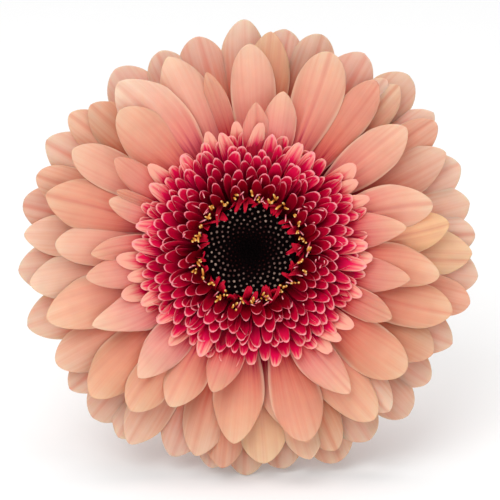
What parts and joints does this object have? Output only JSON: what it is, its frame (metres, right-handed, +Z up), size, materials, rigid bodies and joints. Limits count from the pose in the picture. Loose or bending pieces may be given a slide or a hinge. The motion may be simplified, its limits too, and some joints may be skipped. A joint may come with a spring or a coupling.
{
  "type": "cut gerbera",
  "caption": "Cut gerbera lying down: a full salmon and crimson bloom resting on its lower petals, its bare stem running back to the table.",
  "frame": {"origin": "on the table, under the middle of the whole flower's box", "axes": "+Z up, +Y from the bloom along the stem to its cut end, the bloom faces -Y and 20 degrees up"},
  "size_m": [0.1102, 0.2858, 0.1027],
  "materials": {
    "back_petal_skin": "satin",
    "petal_skin": "satin",
    "crimson_floret": "satin",
    "anther": "matte",
    "bud": "matte",
    "calyx": "matte",
    "stem_skin": "matte"
  },
  "bodies": {
    "root": {"anther_florets": "anther", "back_petal_01": "back_petal_skin", "back_petal_02": "back_petal_skin", "back_petal_03": "back_petal_skin", "back_petal_04": "back_petal_skin", "back_petal_05": "back_petal_skin", "back_petal_06": "back_petal_skin", "back_petal_07": "back_petal_skin", "back_petal_08": "back_petal_skin", "back_petal_09": "back_petal_skin", "back_petal_10": "back_petal_skin", "back_petal_11": "back_petal_skin", "back_petal_12": "back_petal_skin", "back_petal_13": "back_petal_skin", "back_petal_14": "back_petal_skin", "back_petal_15": "back_petal_skin", "back_petal_16": "back_petal_skin", "back_petal_17": "back_petal_skin", "back_petal_18": "back_petal_skin", "back_petal_19": "back_petal_skin", "back_petal_20": "back_petal_skin", "back_petal_21": "back_petal_skin", "back_petal_22": "back_petal_skin", "back_petal_23": "back_petal_skin", "back_petal_24": "back_petal_skin", "back_petal_25": "back_petal_skin", "back_petal_26": "back_petal_skin", "back_petal_27": "back_petal_skin", "back_petal_28": "back_petal_skin", "back_petal_29": "back_petal_skin", "disc_buds": "bud", "front_petal_01": "petal_skin", "front_petal_02": "petal_skin", "front_petal_03": "petal_skin", "front_petal_04": "petal_skin", "front_petal_05": "petal_skin", "front_petal_06": "petal_skin", "front_petal_07": "petal_skin", "front_petal_08": "petal_skin", "front_petal_09": "petal_skin", "front_petal_10": "petal_skin", "front_petal_11": "petal_skin", "front_petal_12": "petal_skin", "front_petal_13": "petal_skin", "front_petal_14": "petal_skin", "front_petal_15": "petal_skin", "front_petal_16": "petal_skin", "front_petal_17": "petal_skin", "front_petal_18": "petal_skin", "front_petal_19": "petal_skin", "front_petal_20": "petal_skin", "front_petal_21": "petal_skin", "inner_bracts": "calyx", "inner_petals": "petal_skin", "middle_florets": "crimson_floret", "outer_bracts": "calyx", "outer_florets": "crimson_floret", "receptacle": "calyx", "second_petals": "petal_skin", "stem": "stem_skin"}
  },
  "joints": []
}
